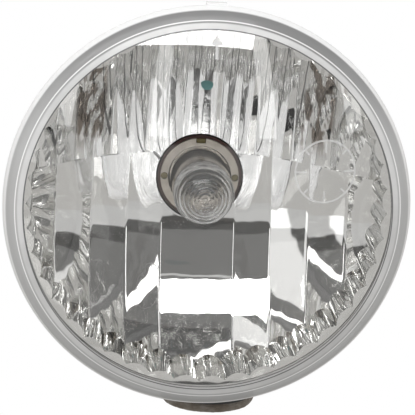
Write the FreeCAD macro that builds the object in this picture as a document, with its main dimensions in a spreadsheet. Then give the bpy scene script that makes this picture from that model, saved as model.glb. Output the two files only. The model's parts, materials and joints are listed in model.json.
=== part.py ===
"""Round fog light: a clear lens on a fluted reflector and a moulded housing, tilted in a steel bracket by an aiming
screw, with a twist-lock bulb in the back.

Millimetres. The origin is the centre of the bracket's rear face, on the light's axis. The light shines along -Y,
+Z is up, and the bracket is bolted to the car along +Y. Depths in the comments are measured behind the reflector's rim.
"""

import FreeCAD, Part
import math
import os
import re

import Sketcher
from FreeCAD import Placement, Rotation, Vector

SIZES = [
    # the whole light
    ("rim_setback", 54.0),  # from the bracket's rear face forward to the reflector's rim
    # lens
    ("lens_radius", 50.0),
    ("lens_wall", 1.7),
    ("lens_corner", 4.5),  # outside radius where the dome turns into the skirt
    ("dome_radius", 110.0),
    ("skirt_length", 2.6),
    ("skirt_draft", 0.6),  # the skirt gets this much smaller towards its end
    ("tab_width", 5.0),  # locating tab on top of the skirt
    ("tab_height", 0.5),
    ("seal_thickness", 1.0),
    ("seal_inset", 1.0),  # from the lens's outside in to the seal's
    # reflector
    ("rim_margin", 5.5),  # from the lens's outside in to the bottom of the reeds
    ("bore_wall", 0.8),
    ("lip_gap", 0.2),  # between the reflector's lip and the lens
    ("lip_thickness", 1.4),
    ("bowl_depth", 37.0),  # rim to the middle of the bowl
    ("bowl_curve", 59.5),  # radius of the bowl in the vertical plane
    ("focal_length", 24.0),  # of the parabola that carries the flutes across the bowl
    ("middle_flute", 9.6),  # half the width of the middle flute
    ("flute_pitch", 9.25),
    ("middle_curve", 460.0),
    ("flute_curve", 107.0),
    ("facet_curve", 16.7),  # of the half-width flutes above the split
    ("split_height", 7.0),
    ("bowl_wall", 1.8),
    ("reed_count", 44),
    ("reed_radius", 4.6),
    ("reed_height", 1.4),
    ("bulb_hole", 11.5),
    # housing
    ("neck_gap", 0.25),  # between the lens and the housing's neck
    ("reflector_gap", 0.2),
    ("flange_thickness", 1.8),
    ("flange_inset", 1.4),  # from the lens's outside in to the flange's
    ("housing_wall", 1.3),
    ("bowl_gap", 2.5),  # from the outer end of the bowl back to where the housing starts to close in
    ("bowl_bulge", 90.0),
    ("floor_radius", 18.0),
    ("floor_gap", 6.7),  # from the middle of the bowl back to the housing's floor
    ("floor_wall", 2.6),
    ("boss_radius", 17.0),
    ("boss_length", 3.0),
    ("socket_radius", 13.6),
    ("rib_count", 12),
    ("rib_thickness", 1.5),
    ("rib_height", 1.6),  # at the floor; the ribs run out towards the rim
    # reflector fixings
    ("fixing_circle", 27.0),
    ("fixing_boss", 3.2),
    ("fixing_rise", 2.2),  # from the middle of the bowl forward to where the bosses meet the housing's pillars
    ("fixing_root", 22.8),  # from there forward to the root of the boss, inside the bowl's wall
    ("fixing_grip", 3.4),  # from there back to the screw's head
    ("fixing_wall", 1.2),
    ("fixing_play", 0.3),
    ("fixing_pillar", 7.5),
    ("fixing_thread", 1.4),
    ("fixing_reach", 2.8),  # of the thread into the reflector's boss
    ("fixing_head", 2.9),
    ("fixing_head_height", 1.8),
    # vents
    ("vent_circle", 24.0),
    ("vent_tube", 2.2),
    ("vent_bore", 1.2),
    ("vent_length", 3.9),  # from the housing's floor
    ("vent_root", 16.9),  # the part of the tube that starts inside the housing's wall
    ("vent_cap_radius", 4.4),
    ("vent_cap_wall", 1.2),
    ("vent_cap_skirt", 1.5),
    ("vent_cap_edge", 0.8),
    ("vent_cap_height", 3.6),
    ("membrane_thickness", 0.3),
    # bulb receiver
    ("receiver_bore", 11.6),
    ("receiver_radius", 16.6),
    ("receiver_thickness", 1.2),
    ("rivet_circle", 15.0),
    ("rivet_radius", 0.9),
    ("rivet_head", 1.35),
    ("rivet_head_height", 0.6),
    # bulb
    ("ring_rise", 1.8),  # from the middle of the bowl forward to the ring
    ("ring_radius", 10.3),
    ("ring_bore", 8.3),
    ("ring_thickness", 1.0),
    ("ring_dot", 0.95),
    ("ring_notch_width", 2.6),
    ("ring_notch_depth", 1.3),
    ("cup_depth", 5.6),
    ("cup_wall", 0.4),
    ("cup_taper", 0.6),
    ("glass_radius", 7.75),
    ("glass_wall", 0.9),
    ("glass_reach", 27.2),  # from the ring forward to the bulb's tip
    ("glass_shoulder", 2.2),  # from the ring forward
    ("glass_waist", 6.2),
    ("glass_waist_drop", 1.8),  # from the ring back
    ("stem_length", 5.0),
    ("filament_reach", 18.2),
    ("filament_length", 5.2),
    ("filament_radius", 0.7),
    ("lead_radius", 0.3),
    ("core_radius", 11.0),
    ("lug_count", 3),
    ("lug_reach", 13.0),
    ("lug_width", 5.0),
    ("lug_thickness", 2.2),
    ("lug_gap", 0.3),
    ("barrel_radius", 12.3),
    ("seal_section", 0.8),
    ("seal_squeeze_gap", 0.3),
    ("seal_setback", 0.5),  # of the seal's middle from the back of the floor
    ("base_flange_radius", 17.0),
    ("base_flange_thickness", 2.4),
    ("base_gap", 0.3),
    ("plug_width", 20.0),
    ("plug_height", 13.0),
    ("plug_wall", 1.5),
    ("plug_root", 0.5),  # of the socket's block inside the base
    ("plug_rise", 6.0),  # from the axis up to the block's top
    ("hub_radius", 11.3),
    ("hub_length", 10.0),
    ("plug_drop", 23.0),  # from the axis down to the mouth of the plug socket
    ("plug_socket_depth", 11.0),
    ("blade_width", 2.8),
    ("blade_thickness", 0.8),
    ("blade_spacing", 7.0),
    ("blade_length", 8.5),  # inside the socket
    ("blade_root", 3.0),  # inside the base
    # bracket
    ("sheet", 2.0),
    ("bend", 3.5),
    ("window_radius", 30.0),
    ("plate_band", 12.0),
    ("hole_inset", 5.5),  # from the plate's edge in to the bolt holes
    ("hole_radius", 3.3),
    ("weld_start", 3.0),  # from the window out to the welded end of an arm or the foot
    ("arm_inset", 6.5),  # from the lens's outside in to the inside of an arm
    ("arm_width", 13.0),
    ("foot_offset", 4.2),  # the foot is to one side of the axis
    ("foot_radius", 12.5),
    ("foot_gap", 4.7),  # from the lens down to the foot
    ("foot_reach", 24.25),  # from the bracket's rear face forward to the foot's hole
    ("pad_thickness", 2.5),
    ("pad_hole", 4.5),
    # pivots
    ("pivot_rise", 3.0),  # from the middle of the bowl forward to the tilt axis
    ("pivot_boss", 6.0),
    ("bush_flange", 1.0),
    ("bush_flange_radius", 5.8),
    ("bush_radius", 4.5),
    ("shoulder_radius", 3.0),
    ("running_gap", 0.05),
    ("side_gap", 0.3),
    ("pivot_thread", 2.0),
    ("pivot_thread_length", 5.5),
    ("pivot_head", 4.6),
    ("pivot_head_height", 2.0),
    ("pivot_head_crown", 2.8),
    # aiming screw
    ("adjuster_x", -22.0),
    ("adjuster_inset", 10.0),  # from the lens's outside up to the screw
    ("adjuster_ear", 7.6),  # radius of the bracket round the screw
    ("adjuster_radius", 2.5),
    ("adjuster_overrun", 4.6),  # of the screw's tip past the nut's middle
    ("adjuster_chamfer", 0.6),
    ("adjuster_bush_radius", 4.0),
    ("adjuster_flange_radius", 5.6),
    ("adjuster_flange", 1.0),
    ("adjuster_flats", 8.0),
    ("adjuster_head", 4.0),
    ("slot_width", 1.2),
    ("slot_depth", 1.2),
    ("adjuster_washer_radius", 5.4),
    ("adjuster_washer", 0.8),
    ("clip_radius", 4.4),
    ("clip_thickness", 0.9),
    ("nut_width", 8.4),
    ("nut_height", 8.0),
    ("nut_length", 6.0),
    ("nut_gap", 0.3),
    ("trunnion_radius", 2.0),
    ("cheek_gap", 0.4),
    ("cheek_thickness", 3.0),
    ("cheek_margin", 1.5),
    ("cheek_root", 9.2),  # from the nut's axis forward to where the cheeks start, inside the housing's wall
    ("cheek_reach", 30.5),  # from the light's axis out to the cheeks' inner ends
    # cuts run past the faces they open by this much
    ("overrun", 1.0),
]

# Formulas in the sheet's names, used by more than one piece.
RIM = "(-rim_setback)"
LENS_BORE = "(lens_radius - lens_wall)"
LENS_END = f"({RIM} + skirt_length)"
FLANGE_FRONT = f"({LENS_END} + seal_thickness)"
NECK_RADIUS = f"({LENS_BORE} - neck_gap)"
REED_BORE = "(lens_radius - rim_margin)"
REFLECTOR_RADIUS = f"({REED_BORE} + bore_wall)"
HOUSING_BORE = f"({REFLECTOR_RADIUS} + reflector_gap)"
BOWL_MIDDLE = f"({RIM} + bowl_depth)"
BOWL_REACH = (f"min({HOUSING_BORE} ^ 2 / (4 * focal_length);"
              f" bowl_curve - sqrt(bowl_curve ^ 2 - {HOUSING_BORE} ^ 2))")
BOWL_START = f"({BOWL_MIDDLE} - {BOWL_REACH} + bowl_gap)"
FLOOR = f"({BOWL_MIDDLE} + floor_gap)"
FLOOR_BACK = f"({FLOOR} + floor_wall)"
BOSS_BACK = f"({FLOOR_BACK} + boss_length)"
BOWL_AXIS = f"({BOWL_MIDDLE} - bowl_curve)"
FIXING = f"({BOWL_MIDDLE} - fixing_rise)"
VENT_END = f"({FLOOR} + vent_length)"
VENT_CAP_END = f"({VENT_END} + vent_cap_height)"
RING = f"({BOWL_MIDDLE} - ring_rise)"
CORE_FRONT = f"({RING} + ring_thickness)"
CUP_BACK = f"({CORE_FRONT} + cup_depth)"
RECEIVER_FRONT = f"({FLOOR} - receiver_thickness)"
LUG_BACK = f"({RECEIVER_FRONT} - lug_gap)"
LUG_FRONT = f"({LUG_BACK} - lug_thickness)"
BASE_FLANGE = f"({BOSS_BACK} + base_gap)"
BASE_BACK = f"({BASE_FLANGE} + base_flange_thickness)"
SEAL_RADIUS = "(socket_radius - seal_squeeze_gap - seal_section)"
SEAL_MIDDLE = f"({FLOOR_BACK} - seal_setback)"
PLUG_MIDDLE = f"({BASE_BACK} + plug_height / 2)"
PIVOT = f"({BOWL_MIDDLE} - pivot_rise)"
FIXING_HEAD = f"({FIXING} + fixing_grip)"
CHEEK_INSIDE = "(nut_width / 2 + cheek_gap)"
PLATE_RADIUS = "(window_radius + plate_band)"
HOLE_CIRCLE = f"({PLATE_RADIUS} - hole_inset)"
ARM_GAP = "(lens_radius - arm_inset)"
BOSS_FACE = f"({ARM_GAP} - bush_flange - side_gap)"
FOOT_DROP = "(lens_radius + foot_gap + sheet)"
ADJUSTER_Z = "(adjuster_inset - lens_radius)"

FIXING_ANGLES = (30, 150, 270)
VENT_ANGLES = (60, 240)
HOLE_ANGLES = (90, 210, 330)
RELEASE_ANGLE = 45
FIRST_RIB_ANGLE = 15
RIVET_ANGLES = (15, 135, 255)

doc = FreeCAD.newDocument("fog_light")
sheet = doc.addObject("Spreadsheet::Sheet", "Sizes")
for line, (alias, value) in enumerate(SIZES, start=1):
    sheet.set(f"A{line}", alias)
    sheet.set(f"B{line}", str(value))
    sheet.setAlias(f"B{line}", alias)
doc.recompute()

ALIASES = re.compile(r"(?<![A-Za-z_.])(" + "|".join(sorted((a for a, _ in SIZES), key=len, reverse=True)) + r")(?![A-Za-z_])")
nodes = {}


# ---------------------------------------------------------------- helpers

def formula(text):
    """A formula in the sheet's names, as an expression that FreeCAD can bind."""
    return ALIASES.sub(r"Sizes.\1", str(text))


def number(text):
    """What a formula comes to now."""
    return float(sheet.evalExpression(formula(text)))


def bind(thing, **formulas):
    """Binds properties to formulas. A double underscore stands for a dot."""
    for name, text in formulas.items():
        thing.setExpression(name.replace("__", "."), formula(text))
    return thing


def place(thing, x="0", y="0", z="0", turn=None):
    """Puts an object at a place given by formulas, turned by a rotation."""
    thing.Placement = Placement(Vector(number(x), number(y), number(z)), turn or Rotation())
    return bind(thing, Placement__Base__x=x, Placement__Base__y=y, Placement__Base__z=z)


def draw(body, plane, corners=None, circles=(), offset="0", level="0", spin=0):
    """A sketch on one of a body's own planes.

    corners is a closed outline of (x, y) formulas. A corner (x, y, radius, side) is joined to the next one by an arc
    that swells to the left of the way there for side 1, and to the right for side -1. offset moves the sketch along
    its own y axis and level along the plane's normal; spin turns it about that normal.
    """
    sketch = body.newObject("Sketcher::SketchObject", body.Name + "_sketch")
    role = {"XY": "XY_Plane", "XZ": "XZ_Plane", "YZ": "YZ_Plane"}[plane]
    origin_plane = [f for f in body.Origin.OriginFeatures if f.Role == role][0]
    sketch.AttachmentSupport = [(origin_plane, "")]
    sketch.MapMode = "FlatFace"
    sketch.AttachmentOffset = Placement(Vector(0, number(offset), number(level)), Rotation(Vector(0, 0, 1), spin))
    bind(sketch, AttachmentOffset__Base__y=offset, AttachmentOffset__Base__z=level)
    if corners:
        outline(sketch, corners)
    for x, y, radius in circles:
        circle(sketch, x, y, radius)
    return sketch


def pin_point(sketch, edge, end, x, y):
    """Fixes a point of an edge at formulas measured from the sketch's origin."""
    for kind, text in (("DistanceX", x), ("DistanceY", y)):
        index = sketch.addConstraint(Sketcher.Constraint(kind, -1, 1, edge, end, number(text)))
        sketch.setExpression(f"Constraints[{index}]", formula(text))


def fix_radius(sketch, edge, text):
    index = sketch.addConstraint(Sketcher.Constraint("Radius", edge, number(text)))
    sketch.setExpression(f"Constraints[{index}]", formula(text))


def circle(sketch, x, y, radius):
    centre = Vector(number(x), number(y), 0)
    edge = sketch.addGeometry(Part.Circle(centre, Vector(0, 0, 1), number(radius)), False)
    pin_point(sketch, edge, 3, x, y)
    fix_radius(sketch, edge, radius)


def outline(sketch, corners):
    points = [Vector(number(c[0]), number(c[1]), 0) for c in corners]
    ends = []
    for i, corner in enumerate(corners):
        start, stop = points[i], points[(i + 1) % len(points)]
        if len(corner) == 2:
            edge = sketch.addGeometry(Part.LineSegment(start, stop), False)
            ends.append((edge, 1, 2))
            continue
        radius, side = number(corner[2]), corner[3]
        along = stop - start
        left = Vector(-along.y, along.x, 0).normalize()
        rise = radius - math.sqrt(radius**2 - (along.Length / 2) ** 2)
        middle = (start + stop) * 0.5 + left * (rise * side)
        edge = sketch.addGeometry(Part.Arc(start, middle, stop), False)
        ends.append((edge, 2, 1) if side > 0 else (edge, 1, 2))
    for i, corner in enumerate(corners):
        edge, first, last = ends[i]
        following = ends[(i + 1) % len(ends)]
        sketch.addConstraint(Sketcher.Constraint("Coincident", edge, last, following[0], following[1]))
        pin_point(sketch, edge, first, corner[0], corner[1])
        if len(corner) > 2:
            fix_radius(sketch, edge, corner[2])


def body_named(name):
    return doc.addObject("PartDesign::Body", name)


def revolve(body, corners, axis="V_Axis", offset="0"):
    """Turns an outline of (radius, y) formulas about the light's axis, or about another axis of its sketch."""
    sketch = draw(body, "XY", corners, offset=offset)
    feature = body.newObject("PartDesign::Revolution", body.Name + "_revolution")
    feature.Profile = sketch
    feature.ReferenceAxis = (sketch, [axis])
    feature.Angle = 360
    return feature


def pad(body, plane, length, corners=None, circles=(), level="0", spin=0, kind="Pad", reverse=False, both=False):
    """Pads an outline, or pockets it with kind="Pocket"."""
    sketch = draw(body, plane, corners, circles, level=level, spin=spin)
    feature = body.newObject("PartDesign::" + kind, body.Name + "_" + kind.lower())
    feature.Profile = sketch
    feature.Reversed = reverse
    if both:
        feature.SideType = "Symmetric"
    bind(feature, Length=length)
    return feature


def repeat(body, feature, count, axis="N_Axis"):
    """Repeats a feature round an axis of its own sketch."""
    pattern = body.newObject("PartDesign::PolarPattern", feature.Name + "_pattern")
    pattern.Originals = [feature]
    pattern.Axis = (feature.Profile[0], [axis])
    pattern.Angle = 360
    bind(pattern, Occurrences=count)
    body.Tip = pattern
    return pattern


def turned(name, corners, x="0", y="0", z="0", turn=None):
    """A turned piece: an outline of (radius, y) formulas about its own Y axis."""
    body = body_named(name)
    revolve(body, corners)
    doc.recompute()
    return place(body, x, y, z, turn)


ALONG = {"X": Rotation(Vector(0, 1, 0), 90), "Y": Rotation(Vector(1, 0, 0), -90), "Z": Rotation()}
ABOUT_X = Rotation(Vector(0, 0, 1), -90)  # takes a turned piece's own Y axis to +X


def cylinder(radius, start, length, along="Y", x="0", z="0", name="cylinder"):
    """A cylinder from start, over length, along one axis; x and z (y for a Z axis) say where that axis lies."""
    thing = doc.addObject("Part::Cylinder", name)
    bind(thing, Radius=radius, Height=length)
    if along == "Y":
        return place(thing, x, start, z, ALONG["Y"])
    if along == "X":
        return place(thing, start, x, z, ALONG["X"])
    return place(thing, x, z, start)


def block(x, y, z, length, width, height, name="block"):
    """A block by its lowest corner and its sizes along X, Y and Z."""
    thing = doc.addObject("Part::Box", name)
    bind(thing, Length=length, Width=width, Height=height)
    return place(thing, x, y, z)


def fuse(*shapes, name="fused"):
    thing = doc.addObject("Part::MultiFuse", name)
    thing.Shapes = list(shapes)
    return thing


def cut(base, *tools, name="cut"):
    thing = doc.addObject("Part::Cut", name)
    thing.Base = base
    thing.Tool = tools[0] if len(tools) == 1 else fuse(*tools)
    return thing


def common(*shapes, name="common"):
    thing = doc.addObject("Part::MultiCommon", name)
    thing.Shapes = list(shapes)
    return thing


def group(*shapes, name="group"):
    thing = doc.addObject("Part::Compound", name)
    thing.Links = list(shapes)
    return thing


def node(name, thing):
    """Names a finished piece, which is kept under that name."""
    thing.Label = name
    nodes[name] = thing
    return thing


def around(circle_radius, angle):
    """x and z formulas of a place on a circle about the light's axis."""
    return f"{circle_radius} * cos({angle})", f"{circle_radius} * sin({angle})"


# ---------------------------------------------------------------- lens and seal

def make_lens():
    """A shallow dome that turns into a straight skirt, of one wall throughout, with a locating tab on top."""
    slope = "asin((lens_radius - lens_corner) / (dome_radius - lens_corner))"
    corner = "(lens_radius - lens_corner)"

    def meeting(radius):
        return f"{corner} + {radius} * sin({slope})", f"{RIM} - {radius} * cos({slope})"

    inner_corner = "(lens_corner - lens_wall)"
    inner_dome = "(dome_radius - lens_wall)"
    apex = f"{RIM} + (dome_radius - lens_corner) * cos({slope}) - dome_radius"
    out_r, out_y = meeting("lens_corner")
    in_r, in_y = meeting(inner_corner)
    lens = body_named("lens_body")
    revolve(lens, [
        ("0", apex, "dome_radius", -1),
        (out_r, out_y, "lens_corner", -1),
        ("lens_radius", RIM),
        ("lens_radius - skirt_draft", LENS_END),
        (LENS_BORE, LENS_END),
        (LENS_BORE, RIM, inner_corner, 1),
        (in_r, in_y, inner_dome, 1),
        ("0", f"{apex} + lens_wall"),
    ])
    tab = block("-tab_width / 2", RIM, "lens_radius - lens_wall / 2", "tab_width", "skirt_length",
                "lens_wall / 2 + tab_height")
    node("lens", fuse(lens, tab))
    node("lens_seal", turned("seal_ring", [
        (LENS_BORE, LENS_END),
        ("lens_radius - seal_inset", LENS_END),
        ("lens_radius - seal_inset", FLANGE_FRONT),
        (LENS_BORE, FLANGE_FRONT),
    ]))


# ---------------------------------------------------------------- reflector

FLUTES = (-5, -4, -3, -2, -1, 1, 2, 3, 4, 5)  # edges, counted from the middle; -1 and 1 are the middle flute's


def flute_edge(count):
    """x of a flute's edge. Halves are the ridges between the narrower flutes above the split."""
    side = "-" if count < 0 else ""
    if abs(count) < 1:
        return f"({side}middle_flute * {abs(count)})"
    return f"({side}(middle_flute + {abs(count) - 1} * flute_pitch))"


def bowl_height(x, extra):
    """Radius of the bowl about its own level axis, at x."""
    return f"(bowl_curve + {extra} - {x} ^ 2 / (4 * focal_length))"


def make_bowl(name, edges, curve, extra="0"):
    """The space in front of the bowl's surface: an outline across the bowl, turned about a level axis in front.

    Each flute between two edges bows forward on a radius that curve names. A bowl with no curve is left in flats.
    """
    corners = [(flute_edge(edges[0]), "0")]
    for here, after in zip(edges, edges[1:] + (None,)):
        corner = (flute_edge(here), bowl_height(flute_edge(here), extra))
        if curve and after:
            corner += ("middle_curve" if (here, after) == (-1, 1) else curve, -1)
        corners.append(corner)
    corners.append((flute_edge(edges[-1]), "0"))
    body = body_named(name)
    revolve(body, corners, axis="H_Axis", offset=BOWL_AXIS)
    return body


def make_reeded_bore():
    """The bore in front of the bowl: round, with reeds that stand inwards."""
    body = body_named("reeded_bore")
    length = f"{BOWL_MIDDLE} + bowl_wall + overrun - {RIM}"
    start = f"-({RIM} - overrun)"
    pad(body, "XZ", length, circles=[("0", "0", REED_BORE)], level=start, reverse=True)
    reed = pad(body, "XZ", length, circles=[("0", f"{REED_BORE} - reed_height + reed_radius", "reed_radius")],
               level=start, kind="Pocket")
    repeat(body, reed, "reed_count")
    return body


def half_space(name, bottom, top):
    """Everything in front of and inside the bowl, from one height to another."""
    reach = "(lens_radius + overrun)"
    return block(f"-{reach}", f"{RIM} - lens_radius", bottom, f"2 * {reach}", "2 * lens_radius", f"{top} - ({bottom})",
                 name=name)


def make_reflector():
    """A bowl of upright flutes inside a reeded wall, with a lip that seats on the housing and three bosses behind.

    Above the split each flute is two narrower ones.
    """
    depth = f"{BOWL_MIDDLE} + bowl_wall - {RIM}"
    back = common(make_bowl("bowl_back", FLUTES, None, "bowl_wall"), cylinder(REFLECTOR_RADIUS, RIM, depth))
    lip = cylinder(f"{LENS_BORE} - lip_gap", RIM, "lip_thickness")
    bosses = []
    holes = [cylinder("bulb_hole", RIM, f"{depth} + overrun")]
    for angle in FIXING_ANGLES:
        x, z = around("fixing_circle", angle)
        bosses.append(cylinder("fixing_boss", f"{FIXING} - fixing_root", "fixing_root", x=x, z=z))
        holes.append(cylinder("fixing_thread", f"{FIXING} - fixing_reach", "fixing_reach", x=x, z=z))
    facets = tuple(sorted(FLUTES + tuple((a + b) / 2 for a, b in zip(FLUTES, FLUTES[1:])) + (-0.5, 0.5)))
    lower = common(make_bowl("bowl_front", FLUTES, "flute_curve"),
                   half_space("below_split", "-lens_radius", "split_height"))
    upper = common(make_bowl("bowl_facets", facets, "facet_curve"),
                   half_space("above_split", "split_height", "lens_radius"))
    hollow = common(fuse(lower, upper), make_reeded_bore())
    node("reflector", cut(fuse(back, lip, *bosses), hollow, *holes))


# ---------------------------------------------------------------- housing

def make_housing():
    """A bowl round the reflector: neck and flange for the lens, ribs, pivot bosses, cheeks for the aiming nut, vents."""
    shell = body_named("housing_shell")
    outside = f"({HOUSING_BORE} + housing_wall)"
    revolve(shell, [
        ("0", f"{RIM} + lip_thickness"),
        (NECK_RADIUS, f"{RIM} + lip_thickness"),
        (NECK_RADIUS, FLANGE_FRONT),
        ("lens_radius - flange_inset", FLANGE_FRONT),
        ("lens_radius - flange_inset", f"{FLANGE_FRONT} + flange_thickness"),
        (outside, f"{FLANGE_FRONT} + flange_thickness"),
        (outside, BOWL_START, "bowl_bulge + housing_wall", -1),
        ("floor_radius + housing_wall / 2", FLOOR_BACK),
        ("boss_radius", FLOOR_BACK),
        ("boss_radius", BOSS_BACK),
        ("0", BOSS_BACK),
    ])
    rib = pad(shell, "XY", "rib_thickness", [
        ("boss_radius - housing_wall", FLOOR),
        (HOUSING_BORE, BOWL_START),
        (outside, BOWL_START, "bowl_bulge + housing_wall", -1),
        ("floor_radius + rib_height", f"{FLOOR_BACK} + rib_height"),
        ("boss_radius - housing_wall", f"{FLOOR_BACK} + rib_height"),
    ], both=True)
    doc.recompute()
    repeat(shell, rib, "rib_count", axis="V_Axis")
    doc.recompute()
    place(shell, turn=Rotation(Vector(0, 1, 0), -FIRST_RIB_ANGLE))
    inside = turned("housing_inside", [
        ("0", f"{RIM} - overrun"),
        (HOUSING_BORE, f"{RIM} - overrun"),
        (HOUSING_BORE, BOWL_START, "bowl_bulge", -1),
        ("floor_radius", FLOOR),
        ("0", FLOOR),
    ])

    pivot_bosses = cylinder("pivot_boss", f"-{BOSS_FACE}", f"2 * {BOSS_FACE}", along="X", x=PIVOT)
    cheeks = [block(f"adjuster_x {x}", f"{PIVOT} - cheek_root", f"{ADJUSTER_Z} - trunnion_radius - cheek_margin",
                    "cheek_thickness", "cheek_root + trunnion_radius + cheek_margin",
                    f"trunnion_radius + cheek_margin - {ADJUSTER_Z} - cheek_reach")
              for x in (f"+ {CHEEK_INSIDE}", f"- {CHEEK_INSIDE} - cheek_thickness")]
    through_floor = "floor_wall + boss_length + 2 * overrun"
    cheek_outside = f"({CHEEK_INSIDE} + cheek_thickness + overrun)"
    holes = [
        cylinder("socket_radius", f"{FLOOR} - overrun", through_floor),
        cylinder("trunnion_radius + running_gap", f"adjuster_x - {cheek_outside}", f"2 * {cheek_outside}", along="X",
                 x=PIVOT, z=ADJUSTER_Z),
    ]
    for start in (f"-{BOSS_FACE} - overrun", f"{BOSS_FACE} - pivot_thread_length"):
        holes.append(cylinder("pivot_thread", start, "pivot_thread_length + overrun", along="X", x=PIVOT))
    tubes, pillars = [], []
    for angle in VENT_ANGLES:
        x, z = around("vent_circle", angle)
        tubes.append(cylinder("vent_tube", f"{FLOOR} - vent_root", "vent_root + vent_length", x=x, z=z))
        holes.append(cylinder("vent_bore", f"{FLOOR} - vent_root", "vent_root + vent_length + overrun", x=x, z=z))
    for angle in FIXING_ANGLES:
        x, z = around("fixing_circle", angle)
        pillars.append(cylinder("fixing_head + fixing_wall", FIXING, "fixing_pillar", x=x, z=z))
        holes.append(cylinder("fixing_thread + fixing_play", f"{FIXING} - overrun", "fixing_pillar", x=x, z=z))
        holes.append(cylinder("fixing_head + fixing_play", FIXING_HEAD, "fixing_pillar", x=x, z=z))
    for angle in RIVET_ANGLES:
        x, z = around("rivet_circle", angle)
        holes.append(cylinder("rivet_radius", f"{FLOOR} - overrun", through_floor, x=x, z=z))
    shape = cut(fuse(shell, pivot_bosses, *cheeks, *tubes), inside)
    node("housing", cut(fuse(shape, *pillars), *holes))


def make_reflector_screws():
    """Self-tapping screws that go in from behind and hold the reflector."""
    screws = []
    for angle in FIXING_ANGLES:
        x, z = around("fixing_circle", angle)
        shank = cylinder("fixing_thread", f"{FIXING} - fixing_reach", "fixing_reach + fixing_grip", x=x, z=z)
        screws.append(fuse(shank, cylinder("fixing_head", FIXING_HEAD, "fixing_head_height", x=x, z=z)))
    node("reflector_screws", group(*screws))


def make_vents():
    """A rubber cap over each vent tube, and a breathing membrane under it."""
    caps, membranes = [], []
    for angle in VENT_ANGLES:
        x, z = around("vent_circle", angle)
        cap = turned("vent_cap", [
            ("vent_tube", f"{VENT_END} - vent_cap_skirt"),
            ("vent_tube + vent_cap_wall", f"{VENT_END} - vent_cap_skirt"),
            ("vent_tube + vent_cap_wall", VENT_END),
            ("vent_cap_radius", VENT_END),
            ("vent_cap_radius", f"{VENT_CAP_END} - vent_cap_edge", "vent_cap_edge", 1),
            ("vent_cap_radius - vent_cap_edge", VENT_CAP_END),
            ("0", VENT_CAP_END),
            ("0", f"{VENT_CAP_END} - vent_cap_wall"),
            ("vent_tube", f"{VENT_CAP_END} - vent_cap_wall"),
        ], x=x, z=z)
        caps.append(cap)
        membranes.append(cylinder("vent_tube", VENT_END, "membrane_thickness", x=x, z=z))
    node("vent_caps", group(*caps))
    node("vent_membranes", group(*membranes))


def make_receiver():
    """A steel ring, riveted inside the housing's floor, that the bulb's lugs turn behind."""
    body = body_named("receiver_ring")
    revolve(body, [
        ("receiver_bore", RECEIVER_FRONT),
        ("receiver_radius", RECEIVER_FRONT),
        ("receiver_radius", FLOOR),
        ("receiver_bore", FLOOR),
    ])
    notch = pad(body, "XZ", "receiver_thickness + 2 * overrun", [
        ("-lug_width / 2 - lug_gap", "receiver_bore - 2 * overrun"),
        ("lug_width / 2 + lug_gap", "receiver_bore - 2 * overrun"),
        ("lug_width / 2 + lug_gap", "lug_reach + lug_gap"),
        ("-lug_width / 2 - lug_gap", "lug_reach + lug_gap"),
    ], level=f"-({RECEIVER_FRONT} - overrun)", spin=-RELEASE_ANGLE, kind="Pocket")
    repeat(body, notch, "lug_count")
    holes, rivets = [], []
    for angle in RIVET_ANGLES:
        x, z = around("rivet_circle", angle)
        holes.append(cylinder("rivet_radius", f"{RECEIVER_FRONT} - overrun", "receiver_thickness + 2 * overrun",
                              x=x, z=z))
        rivets.append(fuse(
            cylinder("rivet_radius", RECEIVER_FRONT, f"{BOSS_BACK} - {RECEIVER_FRONT} - rivet_head_height", x=x, z=z),
            cylinder("rivet_head", f"{RECEIVER_FRONT} - rivet_head_height", "rivet_head_height", x=x, z=z)))
    node("bulb_receiver", cut(body, *holes))
    node("receiver_rivets", group(*rivets))


# ---------------------------------------------------------------- bulb

def make_bulb():
    """A twist-lock bulb: domed glass in a metal cup, a notched ring, a plastic base with lugs, seal and plug socket."""
    glass_front = f"({RING} - glass_reach)"
    shoulder = f"({RING} - glass_shoulder)"
    waist = f"({RING} + glass_waist_drop)"
    node("bulb_glass", turned("glass", [
        ("0", glass_front, "glass_radius", -1),
        ("glass_radius", f"{glass_front} + glass_radius"),
        ("glass_radius", shoulder),
        ("glass_waist", waist),
        ("glass_waist", f"{CUP_BACK} - cup_wall"),
        ("glass_waist - glass_wall", f"{CUP_BACK} - cup_wall"),
        ("glass_waist - glass_wall", waist),
        ("glass_radius - glass_wall", shoulder),
        ("glass_radius - glass_wall", f"{glass_front} + glass_radius", "glass_radius - glass_wall", 1),
        ("0", f"{glass_front} + glass_wall"),
    ]))
    stem_front = f"({CUP_BACK} - cup_wall - stem_length)"
    lead_x = "(filament_length / 2)"
    filament = f"({RING} - filament_reach)"
    lead_holes, leads = [], []
    for side in ("", "-"):
        lead_holes.append(cylinder("lead_radius", f"{stem_front} - overrun", "stem_length + 2 * overrun",
                                   x=side + lead_x))
        leads.append(cylinder("lead_radius", filament, f"{CUP_BACK} - cup_wall - {filament}", x=side + lead_x))
    node("bulb_stem", cut(cylinder("glass_waist - glass_wall", stem_front, "stem_length"), *lead_holes))
    node("bulb_leads", group(*leads))
    node("bulb_filament", cylinder("filament_radius", f"-{lead_x} + lead_radius", "filament_length - 2 * lead_radius",
                                   along="X", x=filament))
    node("bulb_cup", turned("cup", [
        ("ring_bore - cup_wall", CORE_FRONT),
        ("ring_bore", CORE_FRONT),
        ("ring_bore - cup_taper", CUP_BACK),
        ("0", CUP_BACK),
        ("0", f"{CUP_BACK} - cup_wall"),
        ("ring_bore - cup_taper - cup_wall", f"{CUP_BACK} - cup_wall"),
    ]))
    make_bulb_ring()
    make_bulb_base()
    torus = doc.addObject("Part::Torus", "seal_torus")
    bind(torus, Radius1=SEAL_RADIUS, Radius2="seal_section")
    node("bulb_seal", place(torus, y=SEAL_MIDDLE, turn=ALONG["Y"]))
    node("bulb_terminals", group(*make_blades()))


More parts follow.
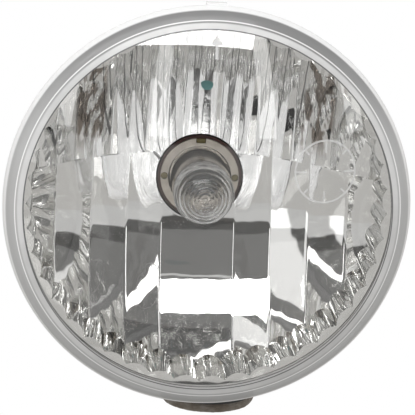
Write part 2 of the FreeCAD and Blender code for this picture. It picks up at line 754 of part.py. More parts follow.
def make_blades():
    """The two flat terminals that hang from the roof of the plug socket."""
    return [block(f"{side}blade_spacing / 2 - blade_width / 2", f"{PLUG_MIDDLE} - blade_thickness / 2",
                  "-plug_drop + plug_socket_depth - blade_length", "blade_width", "blade_thickness",
                  "blade_length + blade_root") for side in ("", "-")]


def make_bulb_ring():
    """The flat metal ring on the front of the base, with a notch on top and a round hole each side."""
    before, through = f"{RING} - overrun", "ring_thickness + 2 * overrun"
    ring = cut(cylinder("ring_radius", RING, "ring_thickness"),
               cylinder("ring_bore", before, through))
    notch = block("-ring_notch_width / 2", before, "ring_radius - ring_notch_depth", "ring_notch_width", through,
                  "ring_notch_depth + overrun")
    dots = [cylinder("ring_dot", before, through, x=f"{side}(ring_bore + ring_radius) / 2") for side in ("", "-")]
    node("bulb_ring", cut(ring, notch, *dots))


def make_bulb_base():
    body = body_named("base")
    groove = f"({SEAL_RADIUS} - seal_section)"
    barrel_front = f"({FLOOR} + lug_gap)"
    revolve(body, [
        ("ring_bore", CORE_FRONT),
        ("core_radius", CORE_FRONT),
        ("core_radius", barrel_front),
        ("barrel_radius", barrel_front),
        ("barrel_radius", f"{SEAL_MIDDLE} - seal_section"),
        (groove, f"{SEAL_MIDDLE} - seal_section"),
        (groove, f"{SEAL_MIDDLE} + seal_section"),
        ("barrel_radius", f"{SEAL_MIDDLE} + seal_section"),
        ("barrel_radius", BASE_FLANGE),
        ("base_flange_radius", BASE_FLANGE),
        ("base_flange_radius", BASE_BACK),
        ("0", BASE_BACK),
        ("0", CUP_BACK),
        ("ring_bore - cup_taper", CUP_BACK),
    ])
    lug = pad(body, "XZ", "lug_thickness", [
        ("-lug_width / 2", "core_radius - overrun"),
        ("lug_width / 2", "core_radius - overrun"),
        ("lug_width / 2", "lug_reach"),
        ("-lug_width / 2", "lug_reach"),
    ], level=f"-({LUG_FRONT})", reverse=True)
    doc.recompute()
    repeat(body, lug, "lug_count")
    # the plug socket and its hub stand behind the flange
    plug_front = f"{BASE_BACK} - plug_root"
    plug = block("-plug_width / 2", plug_front, "-plug_drop", "plug_width", "plug_height + plug_root",
                 "plug_drop + plug_rise")
    hub = cylinder("hub_radius", plug_front, "hub_length + plug_root")
    socket = block("-plug_width / 2 + plug_wall", f"{BASE_BACK} + plug_wall", "-plug_drop - overrun",
                   "plug_width - 2 * plug_wall", "plug_height - 2 * plug_wall", "plug_socket_depth + overrun")
    node("bulb_base", cut(fuse(body, plug, hub), socket, *make_blades()))


# ---------------------------------------------------------------- bracket

def bent_strip(name, plane, corners, width, level="0"):
    """A strip of bent sheet: its side view, as an outline, padded to its width."""
    body = body_named(name)
    pad(body, plane, width, corners, level=level, both=True)
    return body


def make_bracket():
    """Pressed steel: a ring plate with an arm each side and a foot welded on its front face."""
    through = "sheet + 2 * overrun"
    plate = cylinder(PLATE_RADIUS, "-sheet", "sheet")
    ear = cylinder("adjuster_ear", "-sheet", "sheet", x="adjuster_x", z=ADJUSTER_Z)
    web = block("adjuster_x - adjuster_ear", "-sheet", ADJUSTER_Z, "2 * adjuster_ear", "sheet", "2 * adjuster_ear")
    holes = [
        cylinder("window_radius", "-sheet - overrun", through),
        cylinder("adjuster_bush_radius", "-sheet - overrun", through, x="adjuster_x", z=ADJUSTER_Z),
    ]
    for angle in HOLE_ANGLES:
        x, z = around(HOLE_CIRCLE, angle)
        holes.append(cylinder("hole_radius", "-sheet - overrun", through, x=x, z=z))
    node("bracket_plate", cut(fuse(plate, ear, web), *holes))

    weld = "(window_radius + weld_start)"
    inner_bend = "(bend - sheet)"
    for side, sign, swell in (("right", "", 1), ("left", "-", -1)):
        strip = bent_strip(f"{side}_arm", "XY", [
            (f"{sign}{weld}", "-sheet"),
            (f"{sign}({ARM_GAP} + sheet - bend)", "-sheet", "bend", swell),
            (f"{sign}({ARM_GAP} + sheet)", "-sheet - bend"),
            (f"{sign}({ARM_GAP} + sheet)", PIVOT),
            (f"{sign}{ARM_GAP}", PIVOT),
            (f"{sign}{ARM_GAP}", "-sheet - bend", inner_bend, -swell),
            (f"{sign}({ARM_GAP} + sheet - bend)", "-2 * sheet"),
            (f"{sign}{weld}", "-2 * sheet"),
        ], "arm_width")
        end = cylinder("arm_width / 2", ARM_GAP if side == "right" else f"-({ARM_GAP} + sheet)", "sheet", along="X",
                       x=PIVOT)
        hole = cylinder("bush_radius", f"-({ARM_GAP} + sheet + overrun)", f"2 * ({ARM_GAP} + sheet + overrun)",
                        along="X", x=PIVOT)
        node(f"bracket_arm_{side}", cut(fuse(strip, end), hole))

    tongue = bent_strip("tongue", "YZ", [
        ("-sheet", f"-{weld}"),
        ("-sheet", f"-{FOOT_DROP} + bend", "bend", 1),
        ("-sheet - bend", f"-{FOOT_DROP}"),
        ("-foot_reach", f"-{FOOT_DROP}"),
        ("-foot_reach", f"-{FOOT_DROP} + sheet"),
        ("-sheet - bend", f"-{FOOT_DROP} + sheet", inner_bend, -1),
        ("-2 * sheet", f"-{FOOT_DROP} + bend"),
        ("-2 * sheet", f"-{weld}"),
    ], "2 * foot_radius", level="foot_offset")
    toe = cylinder("foot_radius", f"-{FOOT_DROP}", "sheet", along="Z", x="foot_offset", z="-foot_reach")
    hole = cylinder("hole_radius", f"-{FOOT_DROP} - overrun", through, along="Z", x="foot_offset", z="-foot_reach")
    node("bracket_foot", cut(fuse(tongue, toe), hole))
    disc = cylinder("foot_radius", f"-{FOOT_DROP} - pad_thickness", "pad_thickness", along="Z", x="foot_offset",
                    z="-foot_reach")
    node("foot_pad", cut(disc, cylinder("pad_hole", f"-{FOOT_DROP} - pad_thickness - overrun",
                                        "pad_thickness + 2 * overrun", along="Z", x="foot_offset", z="-foot_reach")))


def make_pivots():
    """A plastic bush in each arm, and the shoulder screw that turns in it."""
    bore = "(shoulder_radius + running_gap)"
    under_head = f"({ARM_GAP} + sheet + side_gap)"
    for side, turn in (("right", ABOUT_X), ("left", ABOUT_X.multiply(Rotation(Vector(0, 0, 1), 180)))):
        node(f"pivot_bush_{side}", turned("bush", [
            (bore, f"{ARM_GAP} - bush_flange"),
            ("bush_flange_radius", f"{ARM_GAP} - bush_flange"),
            ("bush_flange_radius", ARM_GAP),
            ("bush_radius", ARM_GAP),
            ("bush_radius", f"{ARM_GAP} + sheet"),
            (bore, f"{ARM_GAP} + sheet"),
        ], y=PIVOT, turn=turn))
        node(f"pivot_screw_{side}", turned("shoulder_screw", [
            ("0", f"{BOSS_FACE} - pivot_thread_length"),
            ("pivot_thread", f"{BOSS_FACE} - pivot_thread_length"),
            ("pivot_thread", BOSS_FACE),
            ("shoulder_radius", BOSS_FACE),
            ("shoulder_radius", under_head),
            ("pivot_head", under_head),
            ("pivot_head", f"{under_head} + pivot_head_height / 2"),
            ("pivot_head_crown", f"{under_head} + pivot_head_height"),
            ("0", f"{under_head} + pivot_head_height"),
        ], y=PIVOT, turn=turn))


# ---------------------------------------------------------------- aiming screw

def make_adjuster():
    """A screw held in the bracket's bush by its head and a clip; the nut on it swings in the housing's cheeks."""
    bore = "(adjuster_radius + running_gap)"
    node("adjuster_bush", turned("screw_bush", [
        (bore, "-sheet - adjuster_flange"),
        ("adjuster_flange_radius", "-sheet - adjuster_flange"),
        ("adjuster_flange_radius", "-sheet"),
        ("adjuster_bush_radius", "-sheet"),
        ("adjuster_bush_radius", "0"),
        ("adjuster_flange_radius", "0"),
        ("adjuster_flange_radius", "adjuster_flange"),
        (bore, "adjuster_flange"),
    ], x="adjuster_x", z=ADJUSTER_Z))
    under_head = "(adjuster_flange + side_gap)"
    tip = f"({PIVOT} - adjuster_overrun)"
    shank = turned("shank", [
        ("0", tip),
        ("adjuster_radius - adjuster_chamfer", tip),
        ("adjuster_radius", f"{tip} + adjuster_chamfer"),
        ("adjuster_radius", under_head),
        ("adjuster_washer_radius", under_head),
        ("adjuster_washer_radius", f"{under_head} + adjuster_washer"),
        ("0", f"{under_head} + adjuster_washer"),
    ], x="adjuster_x", z=ADJUSTER_Z)
    hexagon = doc.addObject("Part::Prism", "hexagon")
    hexagon.Polygon = 6
    bind(hexagon, Circumradius="adjuster_flats / 2 / cos(30)", Height="adjuster_head")
    place(hexagon, "adjuster_x", f"{under_head} + adjuster_washer", ADJUSTER_Z, ALONG["Y"])
    slot = block("adjuster_x - slot_width / 2", f"{under_head} + adjuster_washer + adjuster_head - slot_depth",
                 f"{ADJUSTER_Z} - adjuster_flats", "slot_width", "slot_depth + overrun", "2 * adjuster_flats")
    node("adjuster_screw", cut(fuse(shank, hexagon), slot))
    clip_back = "(-sheet - adjuster_flange - side_gap)"
    node("adjuster_clip", turned("clip", [
        ("adjuster_radius", f"{clip_back} - clip_thickness"),
        ("clip_radius", f"{clip_back} - clip_thickness"),
        ("clip_radius", clip_back),
        ("adjuster_radius", clip_back),
    ], x="adjuster_x", z=ADJUSTER_Z))
    square = block("adjuster_x - nut_width / 2", f"{PIVOT} - nut_length / 2", f"{ADJUSTER_Z} - nut_height / 2",
                   "nut_width", "nut_length", "nut_height")
    trunnions = cylinder("trunnion_radius", f"adjuster_x - {CHEEK_INSIDE} - cheek_thickness",
                         f"2 * ({CHEEK_INSIDE} + cheek_thickness)", along="X", x=PIVOT, z=ADJUSTER_Z)
    threaded = cylinder("adjuster_radius + nut_gap", f"{PIVOT} - nut_length", "2 * nut_length", x="adjuster_x",
                        z=ADJUSTER_Z)
    node("adjuster_nut", cut(fuse(square, trunnions), threaded))


# ---------------------------------------------------------------- build, check and write

def check_document():
    """Stops the build if an object failed or a finished shape isn't sound."""
    for thing in doc.Objects:
        if "Invalid" in thing.State or "Error" in thing.State:
            raise SystemExit(f"{thing.Label} failed: {thing.State}")
    for name, thing in nodes.items():
        shape = thing.Shape
        if shape.isNull() or not shape.isValid() or not shape.Solids:
            raise SystemExit(f"{name} has no valid solid")


def write_parts():
    os.makedirs("parts", exist_ok=True)
    for name, thing in nodes.items():
        thing.Shape.exportStep(f"parts/{name}.step")


make_lens()
make_reflector()
make_housing()
make_reflector_screws()
make_vents()
make_receiver()
make_bulb()
make_bracket()
make_pivots()
make_adjuster()
doc.recompute()
check_document()
write_parts()
print(len(nodes), "pieces written")
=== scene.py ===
import json
import math

import bmesh
import bpy
from mathutils import Matrix, Quaternion, Vector, noise


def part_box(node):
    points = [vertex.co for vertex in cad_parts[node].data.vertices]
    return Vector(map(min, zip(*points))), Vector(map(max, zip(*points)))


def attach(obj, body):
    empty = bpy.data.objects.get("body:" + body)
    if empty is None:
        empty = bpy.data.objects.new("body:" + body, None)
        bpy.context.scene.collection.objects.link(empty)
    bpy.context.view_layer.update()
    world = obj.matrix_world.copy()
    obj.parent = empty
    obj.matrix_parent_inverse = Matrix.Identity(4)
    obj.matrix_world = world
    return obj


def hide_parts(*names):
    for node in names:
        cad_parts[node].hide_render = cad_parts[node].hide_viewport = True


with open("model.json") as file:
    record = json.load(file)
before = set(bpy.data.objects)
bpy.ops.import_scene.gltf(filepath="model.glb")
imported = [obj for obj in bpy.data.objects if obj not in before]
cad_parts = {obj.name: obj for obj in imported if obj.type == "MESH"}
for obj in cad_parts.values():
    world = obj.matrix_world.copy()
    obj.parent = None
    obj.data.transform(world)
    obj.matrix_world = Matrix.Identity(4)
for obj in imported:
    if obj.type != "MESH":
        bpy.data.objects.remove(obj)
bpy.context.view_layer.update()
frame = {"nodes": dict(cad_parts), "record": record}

# Round fog light. Metres; the light shines along -Y and its axis is the Y axis. Depths are
# measured behind the reflector's rim, and radii from the light's axis.
MM = 0.001
DEGREES = 180 / math.pi
WELD = 1e-7

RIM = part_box("reflector")[0].y
LENS_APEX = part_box("lens")[0].y
LENS_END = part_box("lens")[1].y
LENS_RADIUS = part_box("lens")[1].x
LENS_WALL = 1.7 * MM
LENS_CORNER = 4.5 * MM
SKIRT_DRAFT = 0.6 * MM
DOME_RADIUS = 110 * MM

REED_BORE = 44.5 * MM
REFLECTOR_RADIUS = 45.3 * MM
LIP_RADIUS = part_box("reflector")[1].x
REED_COUNT = 44
REED_HEIGHT = 1.4 * MM
REED_STEPS = 12
BOWL_DEPTH = 37 * MM
BOWL_CURVE = 59.5 * MM
BOWL_WALL = 1.8 * MM
FOCAL_LENGTH = 24 * MM
FLUTE_PITCH = 9.25 * MM
BULB_HOLE = 11.5 * MM

FLOOR_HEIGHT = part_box("foot_pad")[0].z

scene = bpy.context.scene


def depth(millimetres):
    """The y of a depth behind the reflector's rim."""
    return RIM + millimetres * MM


# ---------------------------------------------------------------- shader maths

class Signal:
    """A number, colour or vector that varies over a surface. Sums on it add Math nodes."""

    def __init__(self, finish, socket):
        self.finish = finish
        self.socket = socket

    def calculate(self, operation, *values):
        settings = {"operation": operation}
        return self.finish.node("ShaderNodeMath", settings, dict(enumerate(values)))

    def __add__(self, other):
        return self.calculate("ADD", self, other)

    __radd__ = __add__

    def __mul__(self, other):
        return self.calculate("MULTIPLY", self, other)

    __rmul__ = __mul__

    def __rsub__(self, other):
        return self.calculate("SUBTRACT", other, self)

    def root(self):
        return self.calculate("SQRT", self)

    def size(self):
        return self.calculate("ABSOLUTE", self)

    def rises(self, low, high):
        """0 below low, 1 above high, and smooth between them; falls where low is above high."""
        settings = {"interpolation_type": "SMOOTHSTEP"}
        flip = low > high
        ends = {"Value": self, "From Min": min(low, high), "From Max": max(low, high),
                "To Min": float(flip), "To Max": float(not flip)}
        return self.finish.node("ShaderNodeMapRange", settings, ends)

    def sine(self):
        return self.calculate("SINE", self)

    def least(self, other):
        return self.calculate("MINIMUM", self, other)

    def within(self, low, high, edge):
        """1 between low and high, and 0 outside them."""
        return self.rises(low - edge, low) * self.rises(high + edge, high)


class Finish:
    """A material, or a world, as a tree of nodes."""

    def __init__(self, name, owner=None):
        self.data = owner or bpy.data.materials.new(name)
        self.data.use_nodes = True
        self.tree = self.data.node_tree
        self.tree.nodes.clear()

    def node(self, kind, settings=None, inputs=None, out=0):
        """Adds a node, sets it up and feeds its sockets. Gives one of its outputs, or with out
        None a list of them all."""
        made = self.tree.nodes.new(kind)
        for name, value in (settings or {}).items():
            setattr(made, name, value)
        for name, value in (inputs or {}).items():
            socket = made.inputs[name]
            if isinstance(value, Signal):
                self.tree.links.new(value.socket, socket)
            else:
                socket.default_value = value
        if out is None:
            return [Signal(self, socket) for socket in made.outputs]
        return Signal(self, made.outputs[out])

    def place(self):
        return self.node("ShaderNodeTexCoord", out="Object")

    def axes(self, vector=None):
        """x, y and z of a vector, as three signals."""
        return self.node("ShaderNodeSeparateXYZ", inputs={0: vector or self.place()}, out=None)

    def radius(self):
        """Distance from the light's axis, in metres."""
        x, _, z = self.axes()
        return (x * x + z * z).root()

    def noise(self, scale, detail=4.0, rough=0.55, stretch=None):
        where = self.place()
        if stretch:
            where = self.node("ShaderNodeMapping", inputs={"Vector": where, "Scale": stretch})
        sockets = {"Vector": where, "Scale": scale, "Detail": detail, "Roughness": rough}
        return self.node("ShaderNodeTexNoise", inputs=sockets)

    def mix(self, share, first, second):
        """Two colours mixed by a share. The mix node has sockets for each kind of value; these
        are the colours'."""
        sockets = {0: share, 6: first, 7: second}
        return self.node("ShaderNodeMix", {"data_type": "RGBA"}, sockets, out=2)

    def blend(self, share, first, second):
        """Two shaders mixed by a share."""
        return self.node("ShaderNodeMixShader", inputs={0: share, 1: first, 2: second})

    def bump(self, height, distance, strength):
        sockets = {"Height": height, "Distance": distance, "Strength": strength}
        return self.node("ShaderNodeBump", inputs=sockets)

    def principled(self, **sockets):
        """A Principled shader; a socket's name is written with underscores."""
        inputs = {name.replace("_", " "): value for name, value in sockets.items()}
        return self.node("ShaderNodeBsdfPrincipled", inputs=inputs)

    def done(self, shader, kind="ShaderNodeOutputMaterial"):
        self.node(kind, inputs={"Surface": shader}, out=None)
        return self.data


def colour(red, green, blue):
    return (red, green, blue, 1.0)


def grey(level):
    return colour(level, level, level)


# ---------------------------------------------------------------- finishes

def moulded_plastic(name, base, worn, roughness):
    """Moulded plastic with a fine spark-eroded grain, flow marks and a little dust."""
    finish = Finish(name)
    flow = finish.noise(60.0, detail=3.0)
    fine = finish.noise(2600.0, detail=2.0)
    tone = finish.mix(flow.rises(0.4, 0.75), base, worn)
    rough = roughness + flow * 0.12 + fine * 0.06
    normal = finish.bump(fine, 0.04 * MM, 0.35)
    return finish.done(finish.principled(Base_Color=tone, Roughness=rough, Normal=normal))


def soft_rubber(name, base):
    finish = Finish(name)
    bloom = finish.noise(140.0, detail=5.0)
    fine = finish.noise(1800.0, detail=2.0)
    tone = finish.mix(bloom.rises(0.5, 0.8), base, grey(0.075))
    rough = 0.62 + bloom * 0.15
    normal = finish.bump(fine, 0.03 * MM, 0.3)
    return finish.done(finish.principled(Base_Color=tone, Roughness=rough, Normal=normal))


def metal(finish, tone, rough, normal):
    surface = finish.principled(Base_Color=tone, Metallic=1.0, Roughness=rough, Normal=normal)
    return finish.done(surface)


def plated_steel(name, base, tint, roughness=0.26):
    """Plated steel: a little colour from the passivation, and fine turning marks round the
    light's axis."""
    finish = Finish(name)
    cloud = finish.noise(220.0, detail=4.0)
    marks = finish.noise(900.0, detail=2.0, stretch=(1.0, 8.0, 1.0))
    tone = finish.mix(cloud.rises(0.35, 0.7), base, tint)
    normal = finish.bump(marks, 0.01 * MM, 0.3)
    rough = roughness + cloud * 0.16
    return metal(finish, tone, rough, normal)


def mirror_coat(name):
    """Vacuum-metallised reflector: bright, very slightly wavy, with a faint haze in places and
    a painted brown reflection in streaks high up on both sides."""
    finish = Finish(name)
    swell = finish.noise(75.0, detail=2.0)
    haze = finish.noise(160.0, detail=5.0)
    specks = finish.noise(2400.0, detail=1.0).rises(0.74, 0.8)
    x, _, z = finish.axes()
    side = x.size()
    # painted reflection: brown streaks tinted into the mirror high up on both sides
    reflection_streaks = finish.noise(420.0, detail=3.0, stretch=(1.0, 1.0, 0.05))
    painted_reflection_place = side.within(26 * MM, 32 * MM, 1.5 * MM) * z.rises(6 * MM, 14 * MM)
    painted_reflection = painted_reflection_place * reflection_streaks.rises(0.46, 0.54)
    tone = finish.mix(specks * 0.5, colour(0.88, 0.88, 0.87), grey(0.45))
    # painted reflection: mixes the brown streaks into the mirror's colour
    tone = finish.mix(painted_reflection * 0.8, tone, colour(0.16, 0.115, 0.08))
    rough = 0.025 + haze.rises(0.5, 0.9) * 0.06 + specks * 0.2
    normal = finish.bump(swell, 0.3 * MM, 0.3)
    return metal(finish, tone, rough, normal)


POLYCARBONATE_IOR = 1.585
BOTH_FACES = 1.9


def clear_sheet(finish, tint):
    """Clear plastic of even thickness: light goes straight through, and its two faces together
    mirror by their angle."""
    front = 1 - finish.node("ShaderNodeNewGeometry", out="Backfacing")
    fresnel = finish.node("ShaderNodeFresnel", inputs={"IOR": POLYCARBONATE_IOR})
    share = (fresnel * BOTH_FACES).least(1.0) * front
    through = finish.node("ShaderNodeBsdfTransparent", inputs={"Color": tint})
    smooth = {"Color": grey(1.0), "Roughness": 0.0}
    gloss = finish.node("ShaderNodeBsdfAnisotropic", inputs=smooth)
    return finish.blend(share, through, gloss)


def seen_from_outside(finish):
    """1 on the side of a skin that faces away from the light's middle, and 0 on the other."""
    position, normal, *_ = finish.node("ShaderNodeNewGeometry", out=None)
    middle = (0.0, depth(20), 0.0)
    subtract, dot = {"operation": "SUBTRACT"}, {"operation": "DOT_PRODUCT"}
    outward = finish.node("ShaderNodeVectorMath", subtract, {0: position, 1: middle})
    along = finish.node("ShaderNodeVectorMath", dot, {0: outward, 1: normal}, out="Value")
    return along.rises(-1e-5, 1e-5)


def lens_finish(name):
    """Clear over the dome. The turned corner is a satin edge in fine bands, with painted shade
    that darkens it towards the top: from inside a painted shadow line, a pale band, a painted
    highlight line, the grey band and a light strip."""
    satin_start = (44.65 * MM, 44.75 * MM)
    # painted shadow: a near-black line at the inner edge of the corner, for the shade in the gap
    painted_shadow_line = (45.05 * MM, 44.9 * MM)
    pale_band = (46.5 * MM, 46.1 * MM)
    # painted highlight: a thin near-white line on the corner
    painted_highlight_line = (46.75 * MM, 46.95 * MM, 0.08 * MM)
    outer_strip = (48.9 * MM, 49.3 * MM)
    finish = Finish(name)
    radius = finish.radius()
    height = finish.axes()[2]
    edge = radius.rises(*satin_start) * seen_from_outside(finish)
    # painted shade: the corner's grey band is darker towards the top
    painted_top_shade = height.rises(12 * MM, 46 * MM)
    cloud = finish.noise(90.0, detail=3.0)
    # painted shade: grey band from 0.42 at the sides down to 0.20 at the top
    band = finish.mix(painted_top_shade, grey(0.42), grey(0.20))
    pale = finish.mix(cloud.rises(0.3, 0.7), grey(0.62), grey(0.52))
    tone = finish.mix(radius.rises(*outer_strip), band, grey(0.78))
    tone = finish.mix(radius.rises(*pale_band), tone, pale)
    # painted highlight line on the corner
    tone = finish.mix(radius.within(*painted_highlight_line) * 0.7, tone, grey(0.95))
    # painted shadow line at the corner's inner edge
    tone = finish.mix(radius.rises(*painted_shadow_line) * 0.85, tone, grey(0.03))
    satin = finish.principled(Base_Color=tone, Roughness=0.42, Specular_IOR_Level=0.25)
    clear = clear_sheet(finish, grey(0.97))
    return finish.done(finish.blend(edge * 0.94, clear, satin))


def bulb_glass_finish(name):
    """Blown glass, a little wavy, with faint rings about its tip."""
    ring_pitch = 0.9 * MM
    finish = Finish(name)
    wave = finish.noise(260.0, detail=2.0, stretch=(1.0, 2.5, 1.0))
    rings = (finish.radius() * (2 * math.pi / ring_pitch)).sine()
    normal = finish.bump(wave + rings * 0.35, 0.12 * MM, 0.6)
    glass = finish.principled(Base_Color=grey(1.0), Roughness=0.0, Transmission_Weight=1.0,
                              IOR=1.47, Normal=normal)
    return finish.done(glass)


def felt(name):
    finish = Finish(name)
    fibre = finish.noise(1500.0, detail=6.0, rough=0.7)
    patch = finish.noise(260.0, detail=4.0)
    dark, light = colour(0.19, 0.16, 0.13), colour(0.30, 0.275, 0.245)
    tone = finish.mix(patch.rises(0.35, 0.65), dark, light)
    normal = finish.bump(fibre, 0.5 * MM, 0.8)
    return finish.done(finish.principled(Base_Color=tone, Roughness=0.95, Normal=normal))


def painted(name, base, roughness=0.35):
    finish = Finish(name)
    peel = finish.noise(700.0, detail=2.0)
    dust = finish.noise(90.0, detail=5.0).rises(0.55, 0.85)
    tone = finish.mix(dust * 0.35, base, grey(0.22))
    rough = roughness + dust * 0.25
    normal = finish.bump(peel, 0.03 * MM, 0.25)
    return finish.done(finish.principled(Base_Color=tone, Roughness=rough, Normal=normal))


def frosted(name):
    """Moulded marks in the lens: the same plastic with an etched face."""
    finish = Finish(name)
    fine = finish.noise(4000.0, detail=2.0)
    tone = finish.mix(fine, grey(0.55), grey(0.68))
    surface = finish.principled(Base_Color=tone, Roughness=0.5)
    through = finish.node("ShaderNodeBsdfTransparent", inputs={"Color": grey(1.0)})
    return finish.done(finish.blend(0.62, through, surface))


# One finish for each material slot of the record.
FINISHES = {
    "lens": lens_finish("clear_lens"),
    "seal_rubber": soft_rubber("seal_rubber", grey(0.02)),
    "mirror": mirror_coat("mirror_coat"),
    "housing_plastic": moulded_plastic("housing_black", grey(0.018), grey(0.035), 0.42),
    "plated_steel": plated_steel("zinc_plate", colour(0.62, 0.61, 0.57),
                                 colour(0.66, 0.60, 0.46)),
    "membrane": moulded_plastic("breathing_film", grey(0.75), grey(0.65), 0.8),
    "ring_steel": plated_steel("pressed_steel", colour(0.66, 0.61, 0.54),
                               colour(0.55, 0.50, 0.44), 0.3),
    "bulb_glass": bulb_glass_finish("bulb_glass"),
    "tungsten": plated_steel("tungsten", grey(0.33), grey(0.22), 0.35),
    "bulb_plastic": moulded_plastic("bulb_base_brown", colour(0.052, 0.018, 0.014),
                                    colour(0.07, 0.03, 0.02), 0.4),
    "o_ring": soft_rubber("o_ring", grey(0.03)),
    "terminal_brass": plated_steel("tinned_brass", colour(0.72, 0.62, 0.4),
                                   colour(0.76, 0.72, 0.6), 0.2),
    "bracket_steel": painted("bracket_coat", grey(0.022)),
    "felt": felt("felt"),
    "bush_plastic": moulded_plastic("acetal", colour(0.68, 0.66, 0.6),
                                    colour(0.62, 0.6, 0.53), 0.4),
}
# Finishes of the pieces that only this script makes.
SATIN_LIP = plated_steel("satin_lip", colour(0.62, 0.61, 0.60), grey(0.55), 0.3)
ETCHED_MARKS = frosted("etched_marks")
TEAL_DOT_FINISH = painted("teal_dot_finish", colour(0.20, 0.46, 0.46), 0.4)
PIP_PLASTIC = moulded_plastic("pip_plastic", colour(0.17, 0.14, 0.055),
                              colour(0.21, 0.175, 0.08), 0.45)
SLOT_OF = {entry["node"]: entry["material_slot"] for entry in frame["record"]["subparts"]}


# ---------------------------------------------------------------- mesh helpers

def keep_piece(name, bm, body, slot, finish=None, sharp=30):
    """Turns a bmesh into a piece that rides on a CAD body. Edges that turn by more than the
    degrees in sharp stay sharp."""
    mesh = bpy.data.meshes.new(name)
    bm.to_mesh(mesh)
    bm.free()
    piece = bpy.data.objects.new(name, mesh)
    scene.collection.objects.link(piece)
    mesh.materials.append(finish or FINISHES[slot])
    mesh.shade_smooth()
    mesh.set_sharp_from_angle(angle=math.radians(sharp))
    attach(piece, body)
    return piece


def wire(bm, points, closed):
    """Points joined by edges, as a list of both."""
    verts = [bm.verts.new(p) for p in points]
    edges = [bm.edges.new(pair) for pair in zip(verts, verts[1:])]
    if closed:
        edges.append(bm.edges.new((verts[-1], verts[0])))
    return verts + edges


def edges_in(geometry):
    return [part for part in geometry if isinstance(part, bmesh.types.BMEdge)]


def spin_all_round(bm, geometry, steps, axis=(0, 1, 0)):
    bmesh.ops.spin(bm, geom=geometry, cent=(0, 0, 0), axis=axis, angle=2 * math.pi, steps=steps,
                   use_merge=True)
    bmesh.ops.remove_doubles(bm, verts=bm.verts, dist=WELD)
    bmesh.ops.dissolve_degenerate(bm, dist=WELD, edges=bm.edges)
    bmesh.ops.recalc_face_normals(bm, faces=bm.faces)


def turned(points, steps=96, closed=True):
    """A turned shape: an outline of (radius, y) spun about the light's axis."""
    bm = bmesh.new()
    spin_all_round(bm, wire(bm, [(r, y, 0) for r, y in points], closed), steps)
    return bm


def turn_parts(bm, verts, angle, axis):
    """Turns some of a bmesh about an axis through the origin, by degrees."""
    matrix = Matrix.Rotation(math.radians(angle), 3, axis)
    bmesh.ops.rotate(bm, cent=(0, 0, 0), matrix=matrix, verts=verts)


def arc(centre, radius, start, stop, steps):
    """Points of an arc in the (radius, y) plane; angles in degrees, from the radius axis
    towards +y."""
    angles = [math.radians(start + (stop - start) * i / steps) for i in range(steps + 1)]
    return [(centre[0] + radius * math.cos(a), centre[1] + radius * math.sin(a)) for a in angles]


def rounded(points, radius):
    """An outline with each corner rounded, but for points on the axis and nearly straight ones."""
    straight = math.radians(170)
    longest_share = 0.45
    steps = 3
    out = []
    count = len(points)
    for i, here in enumerate(points):
        before = Vector(points[i - 1]) - Vector(here)
        after = Vector(points[(i + 1) % count]) - Vector(here)
        turn = before.angle(after)
        if here[0] < 1e-6 or turn > straight:
            out.append(tuple(here))
            continue
        reach = min(radius / math.tan(turn / 2), before.length * longest_share,
                    after.length * longest_share)
        corner = Vector(here)
        start = corner + before.normalized() * reach
        stop = corner + after.normalized() * reach
        for step in range(steps + 1):
            t = step / steps
            out.append(tuple(start.lerp(corner, t).lerp(corner.lerp(stop, t), t)))
    return out


def combine(target, other, operation):
    """Cuts, joins or intersects two closed meshes, and drops the second."""
    modifier = target.modifiers.new(operation.lower(), "BOOLEAN")
    modifier.operation = operation
    modifier.object = other
    modifier.solver = "EXACT"
    graph = bpy.context.evaluated_depsgraph_get()
    made = bpy.data.meshes.new_from_object(target.evaluated_get(graph))
    target.modifiers.clear()
    target.data = made
    bpy.data.objects.remove(other)


def solid(name, bm):
    """A bmesh as a plain object, to be combined with others."""
    mesh = bpy.data.meshes.new(name)
    bm.to_mesh(mesh)
    bm.free()
    made = bpy.data.objects.new(name, mesh)
    scene.collection.objects.link(made)
    return made


def mesh_of(made):
    """An object's mesh as a bmesh; the object is dropped."""
    bm = bmesh.new()
    bm.from_mesh(made.data)
    bpy.data.objects.remove(made)
    bmesh.ops.remove_doubles(bm, verts=bm.verts, dist=2 * WELD)
    return bm


# ---------------------------------------------------------------- reflector

def bowl_radius(x, edges, rise, lean=0.0):
    """Radius of the bowl about its own level axis.

    Between two edges a flute stands out of the bowl by rise in its middle. Every second edge is
    set back by lean, so that neighbouring flutes look to different sides.
    """
    def edge_radius(index):
        return BOWL_CURVE - edges[index] ** 2 / (4 * FOCAL_LENGTH) + lean * (index % 2)

    for index, (low, high) in enumerate(zip(edges, edges[1:])):
        if low <= x <= high:
            across = (x - low) / (high - low)
            chord = edge_radius(index) * (1 - across) + edge_radius(index + 1) * across
            return chord - rise * 4 * across * (1 - across)
    return BOWL_CURVE - x * x / (4 * FOCAL_LENGTH)


def eased_radius(x, edges, rise, lean):
    """The same, with each ridge eased over a fraction of a millimetre."""
    shifts = (-1.0, -0.5, 0.0, 0.5, 1.0)
    radii = [bowl_radius(x + shift * RIDGE_EASE, edges, rise, lean) for shift in shifts]
    return sum(radii) / len(shifts)


HALF_MIDDLE = 9.6 * MM
LOWER_RIGHT = [HALF_MIDDLE + k * FLUTE_PITCH for k in range(5)]
LOWER_EDGES = [-x for x in reversed(LOWER_RIGHT)] + LOWER_RIGHT
BETWEEN_LOWER = [(a + b) / 2 for a, b in zip(LOWER_EDGES, LOWER_EDGES[1:])]
UPPER_EDGES = sorted(LOWER_EDGES + BETWEEN_LOWER + [-HALF_MIDDLE / 2, HALF_MIDDLE / 2])
LOWER_RISE, UPPER_RISE, UPPER_LEAN = 0.10 * MM, 0.14 * MM, 0.22 * MM
RIDGE_EASE = 0.22 * MM
BOWL_AXIS = depth(0) + BOWL_DEPTH - BOWL_CURVE
# Degrees about the bowl's axis: how far the bowl is swept each way, where the upper flutes
# start, and by how much the two sets overlap.
BOWL_SWEEP = 80
SPLIT_ANGLE = 7
SPLIT_OVERLAP = 0.5
SWEEP_STEP = 1.6


